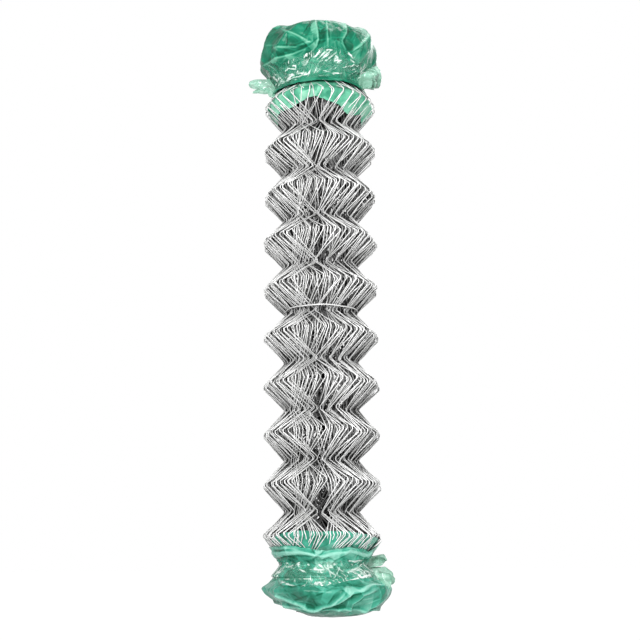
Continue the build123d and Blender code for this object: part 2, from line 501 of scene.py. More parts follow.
def stored(tree, geometry, name, value, domain="POINT"):
    return put(tree, "GeometryNodeStoreNamedAttribute", {
        "Geometry": geometry, "Name": name, "Value": value}, data_type="FLOAT", domain=domain).outputs[0]


def moved(tree, geometry, **where):
    return put(tree, "GeometryNodeSetPosition", {"Geometry": geometry, **where}).outputs[0]


def fenceTree(values, material):
    tree = bpy.data.node_groups.new("woundFence", "GeometryNodeTree")
    tree.interface.new_socket("Geometry", in_out="OUTPUT", socket_type="NodeSocketGeometry")
    for key, value in values.items():
        kind = "NodeSocketInt" if isinstance(value, int) else "NodeSocketFloat"
        tree.interface.new_socket(socketName(key), in_out="INPUT", socket_type=kind)
    sockets = tree.nodes.new("NodeGroupInput").outputs
    given = SimpleNamespace(**{key: sockets[socketName(key)] for key in values})

    # one line of corners for each wire
    index = put(tree, "GeometryNodeInputIndex").outputs[0]
    line = put(tree, "GeometryNodeMeshLine", {"Count": times(tree, given.corners, 2.0)}).outputs[0]
    line = stored(tree, line, "corner", calc(tree, "FLOOR", times(tree, index, 0.5)))
    line = stored(tree, line, "land", minus(tree, calc(tree, "MODULO", index, 2.0), 0.5))
    wires = put(tree, "GeometryNodePoints", {"Count": given.wires}).outputs[0]
    wires = put(tree, "GeometryNodeInstanceOnPoints", {"Points": wires, "Instance": line}).outputs[0]
    wires = stored(tree, wires, "picket", plus(tree, index, given.firstWire), "INSTANCE")
    lines = put(tree, "GeometryNodeRealizeInstances", {"Geometry": wires}).outputs[0]
    picket, corner, land = [
        put(tree, "GeometryNodeInputNamedAttribute", {"Name": name}, data_type="FLOAT").outputs[0]
        for name in ("picket", "corner", "land")]
    land = vectorOf(tree, z=times(tree, land, given.bendLand))
    lines = moved(tree, lines, Position=vecCalc(tree, "ADD", cornerPlace(tree, given, picket, corner), land))

    # each wire passes from one side of its spiral to the other at a bend
    curve = put(tree, "GeometryNodeMeshToCurve", {"Mesh": lines}).outputs[0]
    share = put(tree, "GeometryNodeSplineParameter").outputs["Factor"]
    halfTurns = times(tree, share, minus(tree, given.corners, 1.0))
    swing = times(tree, calc(tree, "SINE", times(tree, halfTurns, math.pi)), given.swingSharp)
    swing = calc(tree, "MINIMUM", calc(tree, "MAXIMUM", swing, -1.0), 1.0)
    here = put(tree, "GeometryNodeInputPosition").outputs[0]
    across = vecCalc(tree, "NORMALIZE", vecCalc(tree, "CROSS_PRODUCT", (0, 0, 1), here))
    curve = moved(tree, curve, Offset=scaled(tree, across, times(tree, swing, given.twistHalf)))
    # slight bow of each straight stretch
    curve = put(tree, "GeometryNodeSubdivideCurve", {"Curve": curve, "Cuts": 1}).outputs[0]
    bowAt = vecCalc(tree, "ADD", here, vectorOf(tree, z=times(tree, picket, given.bowStep)))
    bow = centred(tree, noise(tree, bowAt, given.bowScale, 0.0)["Color"])
    curve = moved(tree, curve, Offset=scaled(tree, bow, given.bow))
    section = put(tree, "GeometryNodeCurvePrimitiveCircle", {
        "Resolution": given.sides, "Radius": given.wireRadius}).outputs[0]
    tube = put(tree, "GeometryNodeCurveToMesh", {
        "Curve": curve, "Profile Curve": section, "Fill Caps": True}).outputs[0]
    tube = put(tree, "GeometryNodeSetShadeSmooth", {"Geometry": tube}).outputs[0]
    tube = put(tree, "GeometryNodeRealizeInstances", {"Geometry": tube}).outputs[0]
    tube = put(tree, "GeometryNodeSetMaterial", {"Geometry": tube, "Material": material}).outputs[0]
    put(tree, "NodeGroupOutput", {"Geometry": tube})
    return tree


def nodePiece(name, tree, values):
    holder = bpy.data.objects.new(name + "_rule", bpy.data.meshes.new(name + "_rule"))
    scene.collection.objects.link(holder)
    modifier = holder.modifiers.new("rule", "NODES")
    modifier.node_group = tree
    for item in tree.interface.items_tree:
        if item.in_out == "INPUT":
            modifier[item.identifier] = values[item.name]
    mesh = bpy.data.meshes.new_from_object(holder.evaluated_get(bpy.context.evaluated_depsgraph_get()))
    mesh.name = name
    holder.modifiers.remove(modifier)
    bpy.data.objects.remove(holder)
    piece = bpy.data.objects.new(name, mesh)
    scene.collection.objects.link(piece)
    return piece


def makeFence(s, turns, material):
    tree = None
    for name, turn in turns.items():
        values = {**s, **turn, "corners": 2 * diamondsHigh + 1, "halfPitch": pitch / 2, "bottom": rollBottom}
        values["firstRadius"] = bulgeRadius + values.pop("tipExtra") - values.pop("turnsIn") * s["turnStep"]
        values["startAngle"] = math.radians(turn["startAngle"])
        tree = tree or fenceTree(values, material)
        piece = nodePiece(name, tree, {socketName(key): value for key, value in values.items()})
        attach(piece, "root")
        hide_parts("mesh_roll")
        print(name, "faces", len(piece.data.polygons))


makeFence(fenceSet, fenceTurns, zinc)

# film is worked out in millimetres, by its turn from the front and its height past the roll's end
turnReach = 100.0  # run that a radian round a bag is taken as
hashWay = np.array([127.1, 311.7, 74.7])
hashSize = 43758.5453
hashStep = 17.31
creaseNoiseSet = {
    "wander": 0.45, "wanderGrain": 2.5,  # creases wander, in grains of their own
    "kept": 0.6, "keptMost": 1.2, "keptGrain": 1.8, "keptSeed": 40,  # and come and go
}
foldSet = {
    "endShare": 0.04, "fadePower": 0.6, "liftPower": 1.3,
    # painted highlight along each fold's ridge and painted shadow beside it on the steep side
    "crestTop": 1.2, "crestWidth": 1.5,  # pale line along the fold
    "shadowTop": 1.1, "shadowWidth": 1.8, "shadowAt": 2.8, "shadowShare": 0.9,  # dark one beside it
}
markSet = {"edge": 1.25, "ends": 0.55, "middle": 0.45, "strengths": (0.35, 1.0)}


def ease(value, span):
    return np.clip(value / span, 0, 1)


def zigzag(run):
    return np.abs(run % 1.0 - 0.5) * 4 - 1


def softNoise(places, grain, seed):
    cells = places / grain + seed * hashStep
    low = np.floor(cells)
    part = cells - low
    part = part * part * (3 - 2 * part)
    total = 0
    for corner in itertools.product((0, 1), repeat=3):
        raw = np.sin((low + corner) @ hashWay) * hashSize
        total = total + np.prod(np.where(corner, part, 1 - part), axis=-1) * (raw - np.floor(raw))
    return 2 * total - 1


def creasedNoise(places, grain, seed, ways=4):
    # straight creases that come and go, flat between them
    s = creaseNoiseSet
    rng = np.random.default_rng(seed)
    total = 0
    for way in range(ways):
        aim = rng.normal(size=3)
        run = places @ (aim / np.linalg.norm(aim)) / grain
        run = run + s["wander"] * softNoise(places, grain * s["wanderGrain"], seed + way)
        fold = np.abs(run - np.floor(run) - 0.5) * 4 - 1
        kept = s["kept"] + softNoise(places, grain * s["keptGrain"], seed + way + s["keptSeed"])
        total = total + fold * np.clip(kept, 0, s["keptMost"])
    return total / ways


def layeredCreases(places, layers, seed):
    return sum(depth * creasedNoise(places, grain, seed + k) for k, (grain, depth) in enumerate(layers))


def roundedProfile(points, step, passes=3, cutShare=0.25):
    # corners cut off again and again, then points at even steps
    line = np.array(points, float)
    for k in range(passes):
        near = (1 - cutShare) * line[:-1] + cutShare * line[1:]
        far = cutShare * line[:-1] + (1 - cutShare) * line[1:]
        cut = np.stack([near, far], 1).reshape(-1, 2)
        line = np.concatenate([line[:1], cut[1:-1], line[-1:]])
    run = np.concatenate([[0], np.cumsum(np.linalg.norm(np.diff(line, axis=0), axis=1))])
    at = np.linspace(0, run[-1], int(run[-1] / step) + 1)
    return np.stack([np.interp(at, run, line[:, 0]), np.interp(at, run, line[:, 1])], 1), at


def wrapTurn(turn):
    return (turn + np.pi) % (2 * np.pi) - np.pi


def wireReach(height, turn=None, up=0):
    # radius of the wires past the roll's end, in millimetres
    tip = (bulgeRadius + fenceSet["tipExtra"]) / mm
    diamond = pitch / mm
    waist = tip - fenceSet["foldDepth"] / mm
    inBag = height > -(bagCorners - 0.5) / 2 * diamond
    if turn is not None:
        # tips at the front stand higher
        share = np.abs((height / diamond) % 1.0 - 0.5) * 2
        rise = up * fenceSet["frontRise"] / mm * np.maximum(np.cos(turn), 0)
        height = np.where(inBag, height, height - rise * (1 - share))
    share = np.abs((height / diamond) % 1.0 - 0.5) * 2
    high = np.where(inBag, tip * fenceSet["baggedShare"], tip)
    # wires end short of the roll's end, drawn in
    atEnd = height > -diamond / 2
    endRise = fenceSet["endRise"] / mm
    share = np.where(atEnd, np.clip(1 + (height + endRise) / (diamond / 2 - endRise), 0, 1), share)
    low = np.where(atEnd, waist * fenceSet["endShare"], waist)
    return high - (high - low) * share


def panelShare(turn, height, ridges):
    # how far a film pulled straight from ridge to ridge stays inside the round
    gaps = [wrapTurn(turn - np.radians(angle + lean * height)) for angle, lean in ridges]
    gaps = np.stack(gaps) % (2 * np.pi)
    before = gaps.min(axis=0)
    after = (2 * np.pi - gaps).min(axis=0)
    half = (before + after) / 2
    return np.cos(half) / np.cos(before - half)


def creaseLift(turn, run, height, crease):
    # one fold, given as points, steep on one side
    s = foldSet
    points, lift, steep, slow = crease
    line = np.array([(math.radians(a) * turnReach, np.interp(h, height, run)) for a, h in points])
    u, v = wrapTurn(turn) * turnReach, run[:, None] + 0 * turn
    best = np.full(u.shape, 1e9)
    side = np.zeros(u.shape)
    along = np.zeros(u.shape)
    lengths = np.linalg.norm(np.diff(line, axis=0), axis=1)
    for k in range(len(lengths)):
        a, way = line[k], (line[k + 1] - line[k]) / lengths[k]
        du, dv = u - a[0], v - a[1]
        t = np.clip(du * way[0] + dv * way[1], 0, lengths[k])
        eu, ev = du - t * way[0], dv - t * way[1]
        gap = np.hypot(eu, ev)
        nearer = gap < best
        best = np.where(nearer, gap, best)
        side = np.where(nearer, np.sign(way[0] * dv - way[1] * du), side)
        along = np.where(nearer, (lengths[:k].sum() + t) / lengths.sum(), along)
    width = np.where(side > 0, steep, slow)
    inner = np.clip(along, s["endShare"], 1 - s["endShare"])
    fade = np.clip(np.sin(np.pi * inner), 0, 1) ** s["fadePower"]
    # painted highlight along the ridge, less a painted shadow beside it on the steep side
    paintedCreaseLight = np.clip(s["crestTop"] - best / s["crestWidth"], 0, 1)
    shadow = np.clip(s["shadowTop"] - np.abs(best - s["shadowAt"]) / s["shadowWidth"], 0, 1)
    paintedCreaseLight = paintedCreaseLight - s["shadowShare"] * shadow * (side > 0)
    return lift * fade * np.clip(1 - best / width, 0, 1) ** s["liftPower"], paintedCreaseLight * fade


def markField(turn, height, marks):
    # short creases, pale where the strength is above zero and dark below it: painted highlights and painted
    # shade along the creases
    s = markSet
    pale, dark = np.zeros(turn.shape), np.zeros(turn.shape)
    for fromTurn, fromHeight, toTurn, toHeight, width, strength in marks:
        way = np.array([math.radians(toTurn - fromTurn) * turnReach, toHeight - fromHeight])
        length = max(np.hypot(*way), 0.1)
        du = wrapTurn(turn - math.radians(fromTurn)) * turnReach
        dv = height - fromHeight
        along = np.clip((du * way[0] + dv * way[1]) / length ** 2, 0, 1)
        gap = np.hypot(du - along * way[0], dv - along * way[1])
        fade = s["ends"] + s["middle"] * np.sin(np.pi * along)
        mark = abs(strength) * np.clip(s["edge"] - gap / width, 0, 1) * fade
        if strength > 0:
            pale = np.maximum(pale, mark)
        else:
            dark = np.maximum(dark, mark)
    return pale - dark


def scatterMarks(s):
    # turns, heights, lengths and widths to draw from, and the slope that marks lie at
    rng = np.random.default_rng(s["seed"])
    marks = []
    for k in range(s["count"]):
        turn, height = rng.uniform(-180, 180), rng.uniform(*s["heights"])
        lean = s["slope"] * math.sin(math.radians(turn * 2 + 90 * (k % 2)))
        slope = math.radians(rng.normal(lean, s["spread"]))
        half = rng.uniform(*s["lengths"]) / 2
        du, dv = math.degrees(half * math.cos(slope) / turnReach), half * math.sin(slope)
        strength = rng.uniform(*markSet["strengths"]) * s["strength"]
        strength = strength * (-1 if rng.random() < s["darkShare"] else 1)
        marks.append((turn - du, height - dv, turn + du, height + dv, rng.uniform(*s["widths"]), strength))
    return marks


def blurred(field, across, along, passes=2):
    for k in range(passes):
        field = sum(np.roll(field, j, axis=1) for j in range(-across, across + 1)) / (2 * across + 1)
        padded = np.pad(field, ((along, along), (0, 0)), mode="edge")
        field = sum(padded[j:j + field.shape[0]] for j in range(2 * along + 1)) / (2 * along + 1)
    return field


def gridMesh(name, grids):
    # each grid is its places, its relief, and whether it closes round and at its last row
    points, values, faces = [], [], []
    first = 0
    for places, relief, closedRound, pole in grids:
        rows, columns = places.shape[:2]
        points.append(places.reshape(-1, 3))
        values.append(relief.reshape(-1, 3))
        corner = np.arange(rows * columns).reshape(rows, columns) + first
        nextOne = np.roll(corner, -1, axis=1)
        if not closedRound:
            corner, nextOne = corner[:, :-1], nextOne[:, :-1]
        faces += np.stack([corner[:-1], nextOne[:-1], nextOne[1:], corner[1:]], -1).reshape(-1, 4).tolist()
        first += rows * columns
        if pole:
            points.append(places[-1].mean(axis=0)[None])
            values.append(relief[-1].mean(axis=0)[None])
            faces += [(int(a), int(b), first) for a, b in zip(corner[-1], nextOne[-1])]
            first += 1
    mesh = bpy.data.meshes.new(name)
    mesh.from_pydata(np.concatenate(points).tolist(), [], faces)
    mesh.polygons.foreach_set("use_smooth", [True] * len(mesh.polygons))
    values = np.concatenate(values)
    for k, field in enumerate(("relief", "crease", "body")):
        made = mesh.attributes.new(field, "FLOAT", "POINT")
        made.data.foreach_set("value", np.ascontiguousarray(values[:, k]))
    mesh.update()
    piece = bpy.data.objects.new(name, mesh)
    scene.collection.objects.link(piece)
    return piece


def filmPiece(name, grids, material, replaced, flat):
    piece = gridMesh(name, grids)
    piece.data.materials.append(material)
    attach(piece, "root")
    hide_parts(replaced)
    area = sum(face.area for face in piece.data.polygons)
    flatArea = flat[0] * flat[1]
    print(name, "faces", len(piece.data.polygons), "area", round(area, 4), "flat", round(flatArea, 4))


def onRoll(turn, radius, height, end, up):
    place = np.stack([radius * np.sin(turn), -radius * np.cos(turn), 0 * turn + height], -1) * mm
    place[..., 2] = end + up * place[..., 2]
    return place


topBagSet = {
    "end": rollTop, "up": 1, "columns": 450, "step": 1.45, "flat": (0.36, 0.36), "seed": 3,
    "hemWander": 3.5, "hemPuff": 2.0,
    "hemLine": [(-180, 0, 0), (180, 0, 0)],  # turn, run and flare of the hem
    "hemGather": 0.5, "hemTone": 0.0, "paintedCreaseLight": 0.9,
    # pale and dark crease marks, painted highlights and painted shade
    "marks": {"seed": 5, "count": 190, "heights": (-72, 14), "slope": 55, "spread": 34, "lengths": (10, 42),
              "widths": (1.0, 1.8), "strength": 0.8, "darkShare": 0.5},
    "profile": [(82, -101), (86, -104.5), (89, -103), (85, -97), (80, -91), (78.5, -85), (81.5, -77),
                (89, -66), (98, -55), (106, -45), (110, -36), (109.5, -26), (105, -12), (98, 0), (90, 9),
                (78, 14), (60, 15), (30, 13), (3, 12)],
    "ridges": [(-168, 0.2), (-128, -0.1), (-96, 0.05), (-62, 0.25), (-24, 0.5), (2, -0.1), (14, 0.15),
               (34, -0.25), (62, 0.2), (92, -0.1), (121, 0.3), (150, -0.2)],
    "gathers": [(44, 1.6, 9), (23, 2.2, 22), (11, 2.4, 42)],
    "creases": [
        # points as turn and height, lift, steep width, slow width
        ([(-5, 6), (-2, -18), (-1, -36), (-3, -44), (-8, -52)], 5.5, 4, 17),
        ([(8, 8), (7, -10), (7, -30), (8, -47)], 3.5, 9, 5),
        ([(-88, -46), (-58, -52), (-31, -51), (-16, -47), (-5, -40)], 5.0, 5, 16),
        ([(-52, -36), (-25, -42), (-9, -37)], 3.0, 8, 5),
        ([(-52, 8), (-38, -8), (-23, -23), (-8, -40)], 3.5, 6, 13),
        ([(31, 8), (27, -18), (22, -35), (28, -46)], 4.0, 5, 12),
        ([(62, -4), (50, -22), (41, -36), (33, -50)], 5.0, 14, 4),
        ([(78, 4), (80, -14), (84, -34), (80, -50)], 4.5, 5, 15),
        ([(-74, 8), (-78, -12), (-84, -34)], 4.0, 13, 6),
        ([(118, 6), (126, -16), (131, -38), (124, -58)], 4.5, 5, 16),
        ([(158, 8), (150, -14), (146, -36), (150, -54)], 4.0, 14, 5),
        ([(-164, 4), (-150, -20), (-141, -44)], 4.5, 5, 15),
        ([(-110, 6), (-118, -14), (-121, -36), (-112, -54)], 4.0, 13, 5),
    ],
    # turn, spread, rise, reach
    "corners": [(-60, 14, 8, 4), (66, 15, 7, 5), (-104, 26, -2, -15), (-150, 26, 5, 3), (148, 26, 6, 3)],
    "lean": (-90, [(-85, 0), (-45, 3), (15, 3)]),
    "facets": [(30, 1.3), (14, 0.7), (7, 0.3)],
    "lift": 3.6,
}
lowBagSet = {
    "end": rollBottom, "up": -1, "columns": 450, "step": 1.45, "flat": (0.34, 0.34), "seed": 8,
    "hemWander": 2.0, "hemPuff": 2.0,
    "hemLine": [(-180, 0, 0), (-100, 0, 0), (-76, 3, 2), (-30, 4, 4), (-12, 0, 2), (-3, -4, 0),
                (10, 1, 1), (30, 3, 1), (62, -6, -2), (76, 0, 0), (90, 11, 8), (106, 2, 1), (180, 0, 0)],
    "hemGather": 0.15, "hemTone": 0.42, "paintedCreaseLight": 0.8,
    # pale and dark crease marks, painted highlights and painted shade
    "marks": {"seed": 9, "count": 200, "heights": (-112, 0), "slope": 35, "spread": 38, "lengths": (10, 42),
              "widths": (1.0, 1.8), "strength": 0.85, "darkShare": 0.55},
    "profile": [(80, -107), (83, -110), (85, -106), (83.5, -98), (79, -90.5), (72.5, -84), (74.5, -76),
                (82.5, -66), (93, -55), (104, -48.5), (110.5, -43.5), (105, -33), (92, -22.5), (80, -15),
                (66, -8), (52, -2.5), (38, 1), (24, 1.8), (3, 1.8)],
    "ridges": [(-175, 0.2), (-146, -0.2), (-118, 0.1), (-88, 0.0), (-58, -0.2), (-30, 0.2), (-4, 0.3),
               (22, -0.3), (54, -0.2), (90, 0.0), (120, -0.2), (150, 0.2)],
    "gathers": [(40, 1.7, 9), (21, 2.2, 18), (10, 2.0, 30)],
    "creases": [
        ([(-78, -94), (-48, -97), (-24, -99), (-6, -101)], 3.2, 4, 8),
        ([(-70, -106), (-40, -105), (-10, -101)], 2.4, 4, 6),
        ([(-14, -92), (-6, -104), (3, -108)], 4.0, 4, 9),
        ([(-4, -93), (6, -100), (13, -92)], 4.0, 5, 8),
        ([(14, -92), (30, -104), (52, -98), (80, -106)], 3.0, 5, 9),
        ([(120, -94), (150, -104), (-175, -98)], 3.0, 4, 8),
        ([(-66, -42), (-41, -30), (-22, -20), (-12, -17), (6, -22), (18, -39), (24, -50)], 5.5, 15, 4),
        ([(-14, -16), (15, -27), (25, -39), (48, -48), (80, -48)], 5.0, 5, 14),
        ([(30, -10), (28, -24), (35, -36), (54, -45)], 4.5, 4, 12),
        ([(28, -3), (47, -14), (76, -32)], 5.0, 5, 13),
        ([(-2, -2), (7, -10), (16, -15), (33, -8)], 3.0, 5, 8),
        ([(-70, -64), (-38, -50), (-18, -52)], 3.5, 5, 11),
        ([(-58, -24), (-34, -12), (-14, -4)], 3.5, 5, 12),
        ([(92, -12), (104, -32), (128, -46)], 5.0, 5, 14),
        ([(120, -6), (142, -26), (150, -48)], 4.5, 13, 5),
        ([(178, -8), (-168, -28), (-150, -48)], 4.5, 5, 14),
        ([(-92, -10), (-112, -26), (-126, -48)], 4.5, 14, 5),
    ],
    "corners": [(72, 40, 4, 2)],
    "lean": (88, [(-88, 0), (-60, 3), (-44, 5), (-20, 12), (-8, 18), (2, 19)]),
    "facets": [(28, 1.2), (13, 0.7), (6.5, 0.3)],
    "lift": 3.6,
}


drapeSet = {
    "panelRise": 40, "panelRadius": 60,  # panels are flat past the neck, and not on the crown
    "cornerFrom": 30, "cornerOutFrom": 40, "cornerRise": 40, "cornerRadius": 80, "cornerPower": 3,
    "leanRadius": 50, "ring": 90.0, "hemFrom": 3, "hemRise": 14, "hemGrain": 38, "puffGrain": 30,
    "driftGrain": 45, "drift": 0.35, "driftRise": 0.004,  # gathers drift aside
    "keptGrain": 38, "kept": 0.55, "keptStray": 0.45,  # and come and go
    "gatherEdge": 5, "gatherRadius": 60, "markLift": 0.6, "blurAcross": 7, "blurAlong": 5, "floorGap": 0.15,
}


def bagSurface(s, d):
    line, run = roundedProfile(s["profile"], s["step"])
    turn = np.linspace(-np.pi, np.pi, s["columns"], endpoint=False)[None, :] + 0 * run[:, None]
    radius, height = line[:, :1] + 0 * turn, line[:, 1:] + 0 * turn
    slope = np.gradient(line, axis=0)
    slope /= np.linalg.norm(slope, axis=1)[:, None]
    outR, outH = slope[:, 1:], -slope[:, :1]
    rough = onRoll(turn, radius, height, 0, 1) / mm
    neck = -pitch / mm
    # flat panels between ridges, less so at the neck and on the crown
    flat = ease(height - neck, d["panelRise"]) * ease(radius, d["panelRadius"])
    radius = radius * (1 + flat * (panelShare(turn, height, s["ridges"]) - 1))
    # soft corners and lean
    over = ease(height + d["cornerFrom"], d["cornerRise"])
    over = over * ease(radius, d["cornerRadius"]) ** d["cornerPower"]
    lift = 0 * turn
    for at, spread, rise, reach in s["corners"]:
        near = np.exp(-(np.degrees(wrapTurn(turn - math.radians(at))) / spread) ** 2)
        height = height + near * rise * over
        above = ease(height + d["cornerOutFrom"], d["cornerRise"])
        radius = radius + near * reach * above * ease(radius, d["cornerRadius"]) ** d["cornerPower"]
    at, leans = s["lean"]
    reach = np.interp(height, *zip(*leans)) * ease(radius, d["leanRadius"])
    radius = radius + reach * np.cos(turn - math.radians(at))
    # uneven hem past the neck
    ring = onRoll(turn, d["ring"], 0 * turn, 0, 1) / mm
    hem = ease(neck - d["hemFrom"] - height, d["hemRise"])
    height = height + s["hemWander"] * softNoise(ring, d["hemGrain"], s["seed"] + 80) * hem
    radius = radius + s["hemPuff"] * softNoise(ring, d["puffGrain"], s["seed"] + 81) * hem
    hemTurns, hemRuns, hemFlares = zip(*s["hemLine"])
    height = height - np.interp(np.degrees(turn), hemTurns, hemRuns) * hem
    radius = radius + np.interp(np.degrees(turn), hemTurns, hemFlares) * hem
    # gathers that fade away from the neck
    for k, (count, depth, fade) in enumerate(s["gathers"]):
        drift = softNoise(rough, d["driftGrain"], s["seed"] + k) * d["drift"]
        drift = drift + (height - neck) * d["driftRise"] * (-1) ** k
        wave = zigzag(count * (turn / (2 * np.pi) + drift / count ** 0.5))
        strength = d["kept"] + d["keptStray"] * softNoise(rough, d["keptGrain"], s["seed"] + 20 + k)
        wave = wave * np.where(height < neck - d["gatherEdge"], s["hemGather"], 1.0)
        faded = np.exp(-np.abs(height - neck) / fade)
        lift = lift + depth * wave * strength * faded * ease(radius, d["gatherRadius"])
    paintedCreaseLights = 0 * turn
    for crease in s["creases"]:
        rise, paintedCreaseLight = creaseLift(turn, run, line[:, 1], crease)
        lift = lift + rise
        paintedCreaseLights = paintedCreaseLights + paintedCreaseLight
    for k, (grain, depth) in enumerate(s["facets"]):
        lift = lift + depth * creasedNoise(rough, grain, s["seed"] + 60 + k)
    creases = markField(turn, line[:, 1:] + 0 * turn, scatterMarks(s["marks"]))
    lift = lift + d["markLift"] * creases
    # tone: the crease marks and the painted highlights and shadows along the laid folds, and paler along the
    # hem
    creases = creases + s["paintedCreaseLight"] * paintedCreaseLights + s["hemTone"] * hem
    radius = radius + outR * lift
    height = height + outH * lift
    # film stays outside the wires that it lies on
    inside = (height < -fenceSet["endRise"] / mm) & (height > -1.5 * pitch / mm)
    radius = np.where(inside, np.maximum(radius, wireReach(height, turn, s["up"]) + s["lift"]), radius)
    relief = lift - blurred(lift, d["blurAcross"], d["blurAlong"])
    return turn, radius, height, np.stack([relief, creases, 0 * relief], -1)


def turnedOut(places, relief, up):
    # rows of a mirrored end run the other way round, so that faces still point out
    if up < 0:
        return places[:, ::-1], relief[:, ::-1]
    return places, relief


def makeBag(name, node, s, material):
    turn, radius, height, relief = bagSurface(s, drapeSet)
    if s["up"] < 0:
        height = np.minimum(height, s["end"] / mm - drapeSet["floorGap"])
    places, relief = turnedOut(onRoll(turn, radius, height, s["end"], s["up"]), relief, s["up"])
    filmPiece(name, [(places, relief, True, True)], material, node, s["flat"])
    return turn, radius, height


# film that runs on under the outer wires
hangSet = {
    "ring": 90.0, "edgeWander": 6, "edgeGrain": 24, "edgeSqueeze": (1, 1, 0.2),
    "driftGrain": 40, "drift": 0.3, "driftRise": 0.003, "keptGrain": 30, "kept": 0.6, "keptStray": 0.4,
    "creaseGrain": 15, "creaseDepth": 0.8, "tipIn": 2.5, "tipLift": 0.6, "blurAcross": 5, "blurAlong": 3,
}


def makeSkirt(name, node, s, d, bag, material):
    turn = np.linspace(-np.pi, np.pi, s["columns"], endpoint=False)[None, :] + np.zeros((s["rows"], 1))
    edge = np.interp(np.degrees(turn[0]), *zip(*s["edge"]))
    share = np.linspace(0, 1, s["rows"])[:, None]
    height = s["start"] + (edge - s["start"]) * share
    rough = onRoll(turn, d["ring"], height, 0, 1) / mm
    wander = softNoise(rough * d["edgeSqueeze"], d["edgeGrain"], s["seed"])
    height = height + share ** 2 * d["edgeWander"] * wander
    lift = 0 * turn
    for k, (count, depth) in enumerate(s["folds"]):
        drift = d["drift"] * softNoise(rough, d["driftGrain"], s["seed"] + k)
        drift = drift + d["driftRise"] * height * (-1) ** k
        wave = zigzag(count * (turn / (2 * np.pi) + drift / count ** 0.5))
        kept = d["kept"] + d["keptStray"] * softNoise(rough, d["keptGrain"], s["seed"] + 9 + k)
        lift = lift + depth * wave * kept
    lift = lift + d["creaseDepth"] * creasedNoise(rough, d["creaseGrain"], s["seed"] + 30)
    radius = wireReach(height, turn, bag["up"]) - s["under"] + lift
    # straight across the tip of the bulge
    tip = (bulgeRadius + fenceSet["tipExtra"]) / mm
    radius = np.minimum(radius, tip - s["under"] - d["tipIn"] + d["tipLift"] * lift)
    places = onRoll(turn, radius, height, bag["end"], bag["up"])[::-1]
    relief = lift - blurred(lift, d["blurAcross"], d["blurAlong"])
    relief = np.stack([relief, 0 * lift, 0 * lift], -1)[::-1]
    places, relief = turnedOut(places, relief, bag["up"])
    filmPiece(name, [(places, relief, True, False)], material, node, s["flat"])


topSkirtSet = {
    "columns": 260, "rows": 40, "flat": (0.56, 0.075), "start": -84.0, "under": 4.0, "seed": 21,
    "folds": [(31, 1.1), (13, 1.5)],
    "edge": [(-180, -138), (-130, -146), (-91, -152), (-43, -146), (-16, -137), (-4, -136), (9, -143),
             (24, -150), (52, -151), (92, -156), (135, -142), (180, -138)],
}
lowSkirtSet = {
    "columns": 260, "rows": 36, "flat": (0.55, 0.055), "start": -84.0, "under": 4.0, "seed": 27,
    "folds": [(29, 1.1), (12, 1.5)],
    "edge": [(-180, -132), (-120, -128), (-75, -124), (-45, -133), (0, -134), (40, -131), (75, -126),
             (90, -132), (130, -128), (180, -132)],
}

# clear tape wound round each neck, crinkled over the gathers
crinkleSet = {"slopeSpread": 32, "halves": (2, 6), "strengths": (0.4, 0.9), "widths": (0.7, 1.15)}
bandSet = {
    "ring": 85.0, "wander": 3, "wanderGrain": 30, "edgeDepth": 1.6, "edgeGrain": 22, "bagBelow": -20,
    "kept": 0.7, "keptStray": 0.5, "keptGrain": 26, "markLift": 0.7,
    "streak": 0.75, "streakDepth": 0.5, "streakGrain": 9, "leastGap": 0.25,
}
flapSet = {
    "rows": 44, "columns": 44, "tipRound": 0.14, "tipPower": 5, "widen": 0.7, "apart": 31.0,
    "tornSqueeze": (0.1, 1, 1), "torn": [(11, 6.0), (7, 2.0)],  # grain and depth
    "droopSqueeze": (1, 0.2, 1), "droop": (14, 3.0),
    "crumple": [(15, 6.0), (7, 2.0)], "crumpleFrom": 3, "curlWays": (1.5, 1.2),
    "lineSqueeze": (0.2, 1, 1), "lineGrain": 9, "lineTone": 0.7, "crossGrain": 13, "crossTone": 0.6,
    "borderFrom": 0.86, "borderWidth": 0.12, "borderTone": 0.3, "relief": 0.4, "body": 0.9,
}


def crinkleRow(fromTurn, fromHeight, toTurn, toHeight, spread, count, slope, darkShare, seed):
    # short creases scattered along a line, pale ones partly painted highlights and dark ones painted shade
    rng = np.random.default_rng(seed)
    marks = []
    for k in range(count):
        share = rng.random()
        turn = fromTurn + share * (toTurn - fromTurn) + rng.normal(0, spread / 2)
        height = fromHeight + share * (toHeight - fromHeight) + rng.normal(0, spread / 2)
        way = math.radians(rng.normal(slope, crinkleSet["slopeSpread"]))
        half = rng.uniform(*crinkleSet["halves"])
        du, dv = math.degrees(half * math.cos(way) / turnReach), half * math.sin(way)
        strength = rng.uniform(*crinkleSet["strengths"]) * (-1 if rng.random() < darkShare else 1)
        width = rng.uniform(*crinkleSet["widths"])
        marks.append((turn - du, height - dv, turn + du, height + dv, width, strength))
    return marks


